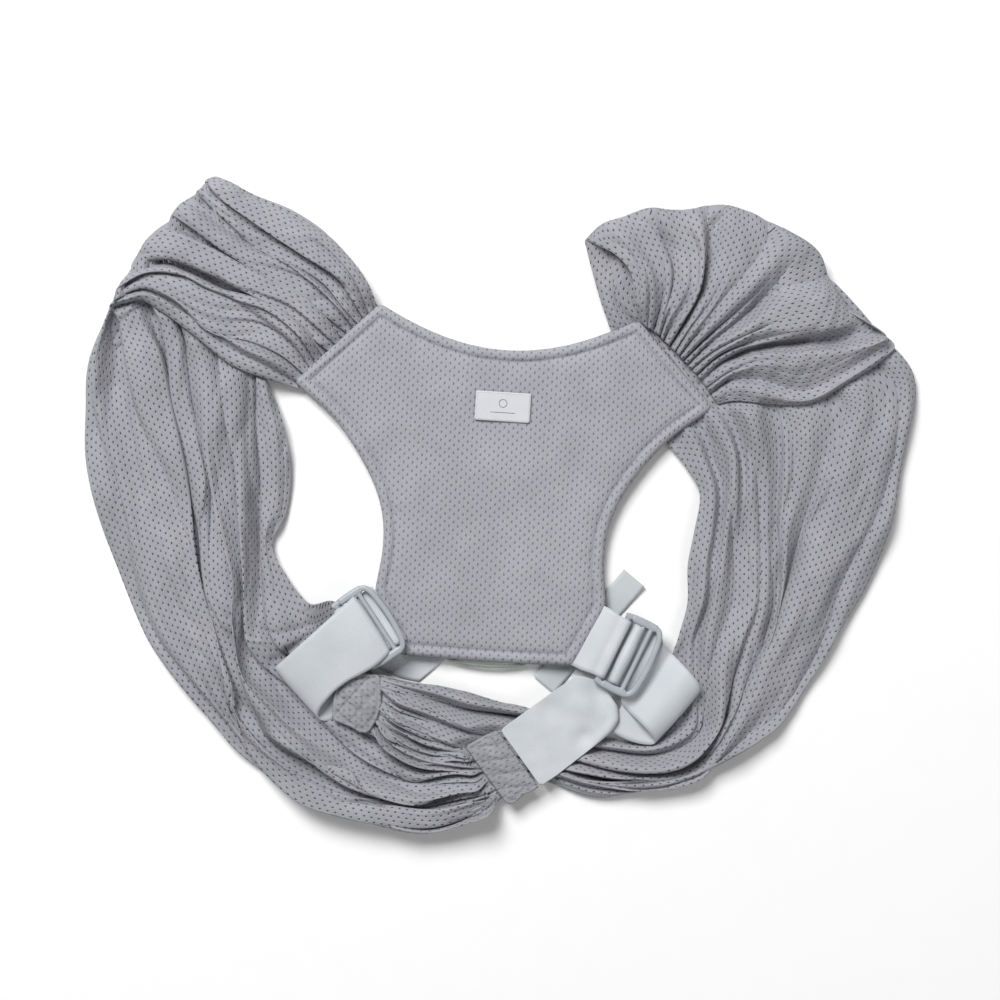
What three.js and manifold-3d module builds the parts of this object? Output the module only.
// Soft baby carrier, lying flat: a padded hourglass panel, two gathered mesh shoulder
// straps that cross below it, and 50 mm webbing with a ladder-lock slider on each side.
// Millimetres, +Z up. The origin is the middle of the object's outline, on the ground.
import * as THREE from "three";
import { mergeVertices } from "three/addons/utils/BufferGeometryUtils.js";
import Module from "manifold-3d";

const wasm = await Module();
wasm.setup();

// ---- driving dimensions ----
const GAP = 0.4; // clearance between touching pieces
const PANEL_PLACE = [-4, -26]; // the panel's own centre
const PANEL_TURN = -3.7; // degrees, clockwise
const PANEL_BACK_Z = 3.5; // the webbing tails lie under the panel
const COVER = 1.8; // thickness of a panel cover
const PADDING = 7;
const BINDING_WIDTH = 8.5;
const BINDING_TOP_Z = 14;
const LABEL = { width: 41, height: 22, thickness: 0.7, y: 95 };
const WEBBING_WIDTH = 50;
const WEBBING = 1.2; // thickness of all webbing
const TAPE_WIDTH = 20;
const STRAP_TOP_Z = 15; // top of the strap layer that lies on the ground
const STRAP_END_TOP_Z = 11; // the gathered ends are flatter
const FAN_TOP_Z = 31; // top of the strap layer that lies over the other
const SHOULDER_TOP_Z = 24;
const UNDERPASS_Z = 2.6; // the right strap's end clears the webbing tail below it
const TAB_PLY = 1.2;
const SLIDER = { plate: 4, halfWidth: 29, slotHalf: 25.8, axisZ: 19.5, bevel: 0.5 };
const BARS = { a: 2.2, bIn: 8, bOut: 12, cIn: 17.2, cOut: 20.6, lipIn: 28.5, lipOut: 32 };
const LOOP_RADIUS = 3.9; // middle of the webbing that turns round bar A
const LEFT_SLIDER = { place: [-106.5, -99.7], turn: 33.3 };
const RIGHT_SLIDER = { place: [83.5, -109.2], turn: -26 };

// ---- solids ----
function solidOf(geometry) {
  const bare = (geometry.index ? geometry.toNonIndexed() : geometry).clone();
  bare.deleteAttribute("normal");
  bare.deleteAttribute("uv");
  const merged = mergeVertices(bare, 1e-4);
  const vertProperties = new Float32Array(merged.attributes.position.array);
  const triVerts = new Uint32Array(merged.index.array);
  return new wasm.Manifold(new wasm.Mesh({ numProp: 3, vertProperties, triVerts }));
}

function geometryOf(solid) {
  const { vertProperties, triVerts } = solid.getMesh();
  const geometry = new THREE.BufferGeometry();
  geometry.setAttribute("position", new THREE.BufferAttribute(vertProperties, 3));
  geometry.setIndex(new THREE.BufferAttribute(triVerts, 1));
  geometry.computeVertexNormals();
  return geometry;
}

const vectors = (points) => points.map(([x, y]) => new THREE.Vector2(x, y));
const radians = THREE.MathUtils.degToRad;

// A smooth closed outline through a few points.
function smooth(points, perPoint = 3) {
  const curve = new THREE.CatmullRomCurve3(
    points.map(([x, y]) => new THREE.Vector3(x, y, 0)),
    true,
    "centripetal",
  );
  return curve.getPoints(points.length * perPoint).slice(0, -1).map((p) => [p.x, p.y]);
}

// A flat piece: an outline from one height to another.
function prism(points, low, high) {
  const settings = { depth: high - low, bevelEnabled: false };
  return new THREE.ExtrudeGeometry(new THREE.Shape(vectors(points)), settings).translate(0, 0, low);
}

// How far a point is from the nearest edge of a closed outline.
function edgeDistance([x, y], points) {
  const p = new THREE.Vector3(x, y, 0);
  const corners = points.map(([u, v]) => new THREE.Vector3(u, v, 0));
  const spans = corners.map((c, i) => new THREE.Line3(c, corners[(i + 1) % corners.length]));
  return Math.min(...spans.map((l) => l.closestPointToPoint(p, true, new THREE.Vector3()).distanceTo(p)));
}

// The outline moved inwards by a distance, or outwards if it is negative.
function inset(points, distance) {
  const turning = Math.sign(THREE.ShapeUtils.area(vectors(points)));
  const moved = points.map((p, i) => {
    const before = points[(i + points.length - 1) % points.length];
    const after = points[(i + 1) % points.length];
    const a = new THREE.Vector2(p[0] - before[0], p[1] - before[1]).normalize();
    const b = new THREE.Vector2(after[0] - p[0], after[1] - p[1]).normalize();
    const normal = new THREE.Vector2(-a.y - b.y, a.x + b.x).normalize();
    const reach = (distance * turning) / Math.max(0.5, normal.dot(new THREE.Vector2(-a.y, a.x)));
    return [p[0] + normal.x * reach, p[1] + normal.y * reach];
  });
  return moved.filter((p) => edgeDistance(p, points) > 0.97 * Math.abs(distance));
}

// Webbing seen from its edge: a path in X and Z, given a thickness, then made wide along Y.
function band(path, width = WEBBING_WIDTH, thickness = WEBBING, steps = 4) {
  const curve = new THREE.SplineCurve(vectors(path));
  const line = curve.getPoints((path.length - 1) * steps);
  const sides = [1, -1].map((side) =>
    line.map((p, i) => {
      const before = line[Math.max(0, i - 1)];
      const after = line[Math.min(line.length - 1, i + 1)];
      const along = after.clone().sub(before).normalize();
      return [p.x - along.y * side * thickness / 2, p.y + along.x * side * thickness / 2];
    }),
  );
  const profile = [...sides[0], ...sides[1].reverse()];
  return prism(profile, -width / 2, width / 2).rotateX(Math.PI / 2);
}

// Everything on the left of a line through a point, seen looking along the line's direction.
function leftOf([x, y], [alongX, alongY], gap = GAP / 2) {
  const far = 900;
  const slab = prism([[-far, gap], [far, gap], [far, far], [-far, far]], -10, 90);
  return solidOf(slab.rotateZ(Math.atan2(alongY, alongX)).translate(x, y, 0));
}

const rightOf = (point, [alongX, alongY]) => leftOf(point, [-alongX, -alongY]);
const cut = (points, low, high, ...keep) =>
  geometryOf(keep.reduce((solid, k) => solid.intersect(k), solidOf(prism(points, low, high))));

// ---- materials ----
const look = (color, roughness) => new THREE.MeshStandardMaterial({ color, roughness, metalness: 0 });
const MESH_CLOTH = look(0x9b9ca2, 0.92);
const PANEL_CLOTH = look(0xa6a7ae, 0.92);
const WADDING = look(0xe6e6e4, 0.95);
const RIBBON = look(0xcfd4d8, 0.6);
const PLASTIC = look(0x9ea0a8, 0.42);
const TAG = look(0xdde0e3, 0.7);

const carrier = new THREE.Group();

function add(name, geometry, material, parent = carrier) {
  const mesh = new THREE.Mesh(geometry, material.clone());
  mesh.name = name;
  parent.add(mesh);
  return mesh;
}

function placed([x, y], turn, z = 0) {
  const group = new THREE.Group();
  group.position.set(x, y, z);
  group.rotation.z = radians(turn);
  carrier.add(group);
  return group;
}

// ---- the hourglass panel ----
const TOP_CORNER = [96, 166];
const SHOULDER_CORNER = [156, 104];
const HIP_CORNER = [86, -47];
const FOOT_CORNER = [64, -93];

function panelOutline() {
  const side = [SHOULDER_CORNER, [122, 76], [97, 42], [85, 14], [82, -14], HIP_CORNER];
  const mirrored = side.map(([x, y]) => [-x, y]).reverse();
  const shape = new THREE.Shape();
  shape.moveTo(-TOP_CORNER[0], TOP_CORNER[1]);
  shape.bezierCurveTo(-60, 146, -30, 137, 0, 137);
  shape.bezierCurveTo(30, 137, 60, 146, ...TOP_CORNER);
  shape.lineTo(...SHOULDER_CORNER);
  shape.splineThru(vectors(side.slice(1)));
  shape.lineTo(...FOOT_CORNER);
  shape.quadraticCurveTo(0, -95, -FOOT_CORNER[0], FOOT_CORNER[1]);
  shape.lineTo(...mirrored[0]);
  shape.splineThru(vectors(mirrored.slice(1)));
  shape.lineTo(-TOP_CORNER[0], TOP_CORNER[1]);
  return shape.getPoints(6).slice(0, -1).map((p) => [p.x, p.y]);
}

function panel() {
  const outline = panelOutline();
  const inner = inset(outline, BINDING_WIDTH);
  const filling = inset(outline, BINDING_WIDTH + GAP);
  const paddingLow = PANEL_BACK_Z + COVER + GAP;
  const paddingHigh = paddingLow + PADDING;
  const frontLow = paddingHigh + GAP;
  const frontHigh = frontLow + COVER;
  const group = placed(PANEL_PLACE, PANEL_TURN);
  add("panel_back_cover", prism(outline, PANEL_BACK_Z, PANEL_BACK_Z + COVER), PANEL_CLOTH, group);
  add("panel_padding", prism(filling, paddingLow, paddingHigh), WADDING, group);
  add("panel_front_cover", prism(filling, frontLow, frontHigh), PANEL_CLOTH, group);
  const ring = solidOf(prism(outline, paddingLow, BINDING_TOP_Z));
  const hole = solidOf(prism(inner, 0, BINDING_TOP_Z + 5));
  add("panel_edge_binding", geometryOf(ring.subtract(hole)), PANEL_CLOTH, group);
  const tag = new THREE.BoxGeometry(LABEL.width, LABEL.height, LABEL.thickness);
  add("woven_label", tag, TAG, group).position.set(0, LABEL.y, frontHigh + GAP + LABEL.thickness / 2);
}

// The space round the panel that the straps leave free.
function aroundPanel() {
  const grown = prism(inset(panelOutline(), -GAP), -10, 90);
  return solidOf(grown.rotateZ(radians(PANEL_TURN)).translate(...PANEL_PLACE, 0));
}

const PANEL_SPACE = aroundPanel();
const clearOfPanel = (geometry) => geometryOf(solidOf(geometry).subtract(PANEL_SPACE));

// An anchor's geometry in the object's frame, cut off at the panel's edge.
function toPanelEdge(geometry, { place: [x, y], turn }) {
  return clearOfPanel(geometry.rotateZ(radians(turn)).translate(x, y, 0));
}

// ---- left strap: from the panel's left shoulder out, over, down and along to the middle ----
const LEFT_FAN = [
  [-86, 143], [-93, 154], [-110, 179], [-129, 197], [-152, 212], [-182, 225], [-208, 239],
  [-217, 238], [-231, 228], [-245, 209], [-258, 199], [-273, 177], [-286, 146], [-275, 146],
  [-261, 151], [-247, 137], [-226, 118], [-197, 103], [-173, 91], [-155, 83], [-140, 90],
];
const LEFT_RUN = [
  [-286, 147], [-297, 125], [-305, 100], [-308, 60], [-306, 20], [-296, -12], [-282, -55],
  [-260, -105], [-230, -145], [-188, -191], [-156, -213], [-122, -226], [-82, -235],
  [-53, -241], [-27, -238], [4, -225], [-10, -206], [-27, -184], [-40, -190], [-59, -189],
  [-85, -178], [-97, -168], [-98, -145], [-100, -118], [-104, -100], [-110, -84],
  [-112, -69], [-126, -73], [-140, -77], [-160, -55], [-170, -37], [-170, -26], [-158, -1],
  [-157, 29], [-160, 48], [-168, 70], [-176, 92], [-190, 140], [-204, 190], [-217, 235],
  [-231, 227], [-245, 208], [-258, 198], [-273, 176],
];

function leftStrap() {
  const fan = smooth(LEFT_FAN);
  const run = smooth(LEFT_RUN);
  const foldLine = [[-173, 91], [-40, 148]];
  const overLow = STRAP_TOP_Z + GAP;
  const shoulder = cut(fan, 1, SHOULDER_TOP_Z, rightOf(...foldLine));
  add("left_strap_shoulder", clearOfPanel(shoulder), MESH_CLOTH);
  add("left_strap_over_fold", cut(fan, overLow, FAN_TOP_Z, leftOf(...foldLine)), MESH_CLOTH);
  const belowTop = [[-230, 50], [-1, 0]];
  const belowSide = [[-220, -50], [-1, -0.15]];
  const corner = [[-145, -95], [-1, -0.9]];
  const end = [[-99, -200], [0, 1]];
  const pieces = [
    ["left_strap_under_fold", STRAP_TOP_Z, rightOf(...belowTop)],
    ["left_strap_side", STRAP_TOP_Z, leftOf(...belowTop), rightOf(...belowSide)],
    ["left_strap_lower_side", STRAP_TOP_Z, leftOf(...belowSide), rightOf(...corner)],
    ["left_strap_corner", STRAP_END_TOP_Z, leftOf(...corner), leftOf(...end)],
    ["left_strap_end", STRAP_END_TOP_Z, leftOf(...corner), rightOf(...end)],
  ];
  for (const [name, top, ...keep] of pieces) add(name, cut(run, 0, top, ...keep), MESH_CLOTH);
}

// ---- right strap: the mirror path, and its end passes under the left strap's tab ----
const RIGHT_FAN = [
  [104, 131], [92, 130], [82, 132], [72, 160], [60, 191], [77, 207], [99, 213], [117, 216],
  [133, 217], [158, 222], [180, 218], [197, 208], [215, 199], [235, 186], [241, 175],
  [247, 157], [256, 144], [267, 137], [287, 119], [294, 112], [279, 96], [260, 85],
  [242, 79], [226, 72], [201, 70], [175, 74], [159, 71],
];
const RIGHT_RUN = [
  [288, 119], [297, 114], [305, 102], [308, 90], [307, 75], [301, 43], [293, -6], [285, -34],
  [268, -72], [236, -128], [210, -165], [187, -185], [158, -197], [116, -212], [79, -221],
  [45, -218], [20, -219], [8, -222], [-5, -205], [-25, -180], [-40, -185], [-59, -184],
  [-82, -173], [-87, -151], [-86, -138], [-59, -137], [-37, -141], [-14, -148], [8, -154],
  [45, -170], [80, -178], [112, -181], [134, -166], [132, -130], [127, -115], [131, -100],
  [139, -77], [140, -48], [145, -28], [148, 5], [138, 25], [125, 42], [150, 58], [176, 78],
  [196, 110], [219, 150], [237, 179], [244, 168], [249, 155], [257, 143], [268, 136],
];

function rightStrap() {
  const fan = smooth(RIGHT_FAN);
  const run = smooth(RIGHT_RUN);
  const foldLine = [[172, 76], [61, 104]];
  const overLow = STRAP_TOP_Z + GAP;
  const shoulder = cut(fan, 1, SHOULDER_TOP_Z, leftOf(...foldLine));
  add("right_strap_shoulder", clearOfPanel(shoulder), MESH_CLOTH);
  add("right_strap_over_fold", cut(fan, overLow, FAN_TOP_Z, rightOf(...foldLine)), MESH_CLOTH);
  const belowTop = [[230, 50], [1, 0]];
  const belowSide = [[220, -50], [1, -0.15]];
  const corner = [[140, -115], [1, -0.9]];
  const bottom = [[115, -190], [0, 1]];
  const end = [[0, -190], [0, 1]];
  const low = UNDERPASS_Z;
  const under = clearOfPanel(cut(run, 0, STRAP_TOP_Z, leftOf(...belowTop)));
  add("right_strap_under_fold", under, MESH_CLOTH);
  const pieces = [
    ["right_strap_side", 0, STRAP_TOP_Z, rightOf(...belowTop), leftOf(...belowSide)],
    ["right_strap_lower_side", 0, STRAP_TOP_Z, rightOf(...belowSide), leftOf(...corner)],
    ["right_strap_corner", 0, STRAP_END_TOP_Z, rightOf(...corner), rightOf(...bottom)],
    ["right_strap_bottom", 0, STRAP_END_TOP_Z, leftOf(...bottom), rightOf(...end)],
    ["right_strap_end", low, STRAP_END_TOP_Z, leftOf(...end)],
  ];
  for (const [name, base, top, ...keep] of pieces) {
    add(name, clearOfPanel(cut(run, base, top, ...keep)), MESH_CLOTH);
  }
}

// ---- quilted end tabs: front and back patch with the gathered strap end between ----
const LEFT_TAB = [
  [-88, -129], [-87, -151], [-91, -163], [-97, -172], [-103, -172], [-109, -168],
  [-124, -162], [-123, -144], [-119, -132], [-105, -127],
];
const RIGHT_TAB = [
  [-26, -182], [-14, -175], [-2, -169.5], [29, -212.5], [17, -218], [10, -224.5], [5, -224.5],
  [-10, -204],
];

function tab(side, outline, low) {
  const core = inset(outline, 2.5);
  const ply = TAB_PLY + GAP;
  add(`${side}_tab_back`, prism(outline, low, low + TAB_PLY), MESH_CLOTH);
  add(`${side}_tab_strap_end`, prism(core, low + ply, low + ply + TAB_PLY), MESH_CLOTH);
  add(`${side}_tab_front`, prism(outline, low + 2 * ply, low + 2 * ply + TAB_PLY), MESH_CLOTH);
}

// ---- three-bar slider with a curved thumb lip; bar A lies on the local Y axis ----
function sliderBody() {
  const { halfWidth: w, slotHalf: s, plate, axisZ, bevel } = SLIDER;
  const lip = BARS.lipOut;
  const shape = new THREE.Shape();
  shape.moveTo(-2, -w);
  shape.lineTo(20, -w);
  shape.bezierCurveTo(26, -w + 1, lip, -15, lip, 0);
  shape.bezierCurveTo(lip, 15, 26, w - 1, 20, w);
  shape.lineTo(-2, w);
  shape.quadraticCurveTo(-3.4, w, -3.4, w - 2);
  shape.lineTo(-3.4, s);
  shape.lineTo(-BARS.a, s - 1);
  shape.lineTo(-BARS.a, -s + 1);
  shape.lineTo(-3.4, -s);
  shape.lineTo(-3.4, -w + 2);
  shape.quadraticCurveTo(-3.4, -w, -2, -w);
  for (const [from, to] of [[BARS.a, BARS.bIn], [BARS.bOut, BARS.cIn]]) {
    shape.holes.push(new THREE.Path(vectors([[from, -s], [from, s], [to, s], [to, -s]])));
  }
  const finger = new THREE.Path();
  finger.moveTo(BARS.cOut, -22);
  finger.lineTo(BARS.cOut, 22);
  finger.bezierCurveTo(25, 21, BARS.lipIn, 11, BARS.lipIn, 0);
  finger.bezierCurveTo(BARS.lipIn, -11, 25, -21, BARS.cOut, -22);
  shape.holes.push(finger);
  const geometry = new THREE.ExtrudeGeometry(shape, {
    depth: plate - 2 * bevel,
    bevelThickness: bevel,
    bevelSize: bevel,
    bevelOffset: -bevel,
    bevelSegments: 1,
    curveSegments: 7,
  });
  return geometry.translate(0, 0, axisZ - plate / 2 + bevel);
}

// Points of the webbing round bar A, between two angles in degrees.
function roundBarA(from, to, steps = 6) {
  return Array.from({ length: steps + 1 }, (_, i) => {
    const angle = radians(from + ((to - from) * i) / steps);
    return [LOOP_RADIUS * Math.cos(angle), SLIDER.axisZ + LOOP_RADIUS * Math.sin(angle)];
  });
}

// The left slider is folded back over the panel, so its anchor runs under it to bar A.
function leftWebbing() {
  const group = placed(LEFT_SLIDER.place, LEFT_SLIDER.turn);
  const anchor = [
    [27, 12], [20, 12], [13, 12.3], [6, 13.6], ...roundBarA(-100, -350, 10), [5.6, 16.6],
    [8, 15.3], [14, 14], [20, 13.6], [27, 13.6],
  ];
  add("left_anchor_webbing", toPanelEdge(band(anchor), LEFT_SLIDER), RIBBON);
  add("left_slider", sliderBody(), PLASTIC, group);
  const grip = [
    [29, 16.3], [22, 16.3], [17, 16.4], [14.8, 18], [14.3, 20.5], [12.5, 22.5], [9, 22.8], [6.8, 23],
  ];
  add("left_webbing_in_slider", band(grip), RIBBON, group);

  const strap = placed(LEFT_SLIDER.place, 225);
  const upper = [
    [3.5, 24.8], [20, 24.8], [40, 24.6], [54, 24.4], [59.5, 22.8], [61.5, 19.8], [60, 17.4],
    [57.5, 16.4],
  ];
  add("left_webbing_upper_leg", band(upper), RIBBON, strap);
  const lower = [
    [-163.4, -122.6], [-129.4, -156.6], [-125, -160], [-125, -145], [-121, -132], [-141, -115],
  ];
  const lowerZ = STRAP_TOP_Z + 0.8;
  add("left_webbing_lower_leg", prism(lower, lowerZ, lowerZ + WEBBING), RIBBON);
  const tail = placed([-41, -119], -50.3);
  const tailShape = new THREE.BoxGeometry(66, WEBBING_WIDTH, WEBBING).translate(-33, 0, WEBBING / 2);
  add("left_webbing_tail", tailShape, RIBBON, tail);
}

// The right slider points away from the panel, so its anchor comes straight to bar A.
function rightWebbing() {
  const group = placed(RIGHT_SLIDER.place, RIGHT_SLIDER.turn);
  const anchor = [
    [-23, 8.4], [-16, 9.2], [-10, 10.6], [-5, 13.6], ...roundBarA(-110, 110, 8), [-5.5, 20.4],
    [-10, 14], [-16, 11.6], [-23, 10.6],
  ];
  add("right_anchor_webbing", toPanelEdge(band(anchor), RIGHT_SLIDER), RIBBON);
  add("right_slider", sliderBody(), PLASTIC, group);
  const grip = [
    [26, 16.4], [20, 16.4], [16.6, 16.6], [14.8, 18.4], [14.2, 20.8], [12, 22.8], [9, 23],
    [6.8, 21.6], [6.2, 19], [6.2, 16.2],
  ];
  add("right_webbing_in_slider", band(grip), RIBBON, group);
  const tail = placed(RIGHT_SLIDER.place, RIGHT_SLIDER.turn);
  const tailShape = new THREE.BoxGeometry(70, WEBBING_WIDTH, WEBBING).translate(-47, 0, 2.2);
  add("right_webbing_tail", tailShape, RIBBON, tail);

  const wide = [
    [0.2, -169.6], [38, -142], [57, -129], [75, -134], [87, -152], [88, -163], [82, -172],
    [42, -203], [29.8, -211],
  ];
  add("right_webbing_wide_leg", prism(wide, 14.3, 14.3 + WEBBING), RIBBON);
  const turn = placed([130.6, -159.9], -44.4);
  const loop = [
    [-26, 16.5], [-18, 16.6], [-8, 17.4], [-2, 17.2], [1.2, 14.8], [-2, 12.4], [-8, 12.1], [-36, 12.1],
  ];
  add("right_webbing_loop", band(loop), RIBBON, turn);
}

// The narrow tape that lies across under the panel's lower right corner.
function keeperTape() {
  const group = placed([66.3, -97.8], 49.8);
  const tape = new THREE.BoxGeometry(104, TAPE_WIDTH, WEBBING).translate(0, 0, WEBBING / 2);
  add("keeper_tape", tape, RIBBON, group);
}

panel();
leftStrap();
rightStrap();
tab("left", LEFT_TAB, STRAP_TOP_Z - 0.6);
tab("right", RIGHT_TAB, 12.4);
leftWebbing();
rightWebbing();
keeperTape();

// The origin goes under the middle of the whole outline.
const whole = new THREE.Group();
whole.add(carrier);
const box = new THREE.Box3().setFromObject(whole);
const middle = box.getCenter(new THREE.Vector3());
carrier.position.set(-middle.x, -middle.y, -box.min.z);

export default whole;
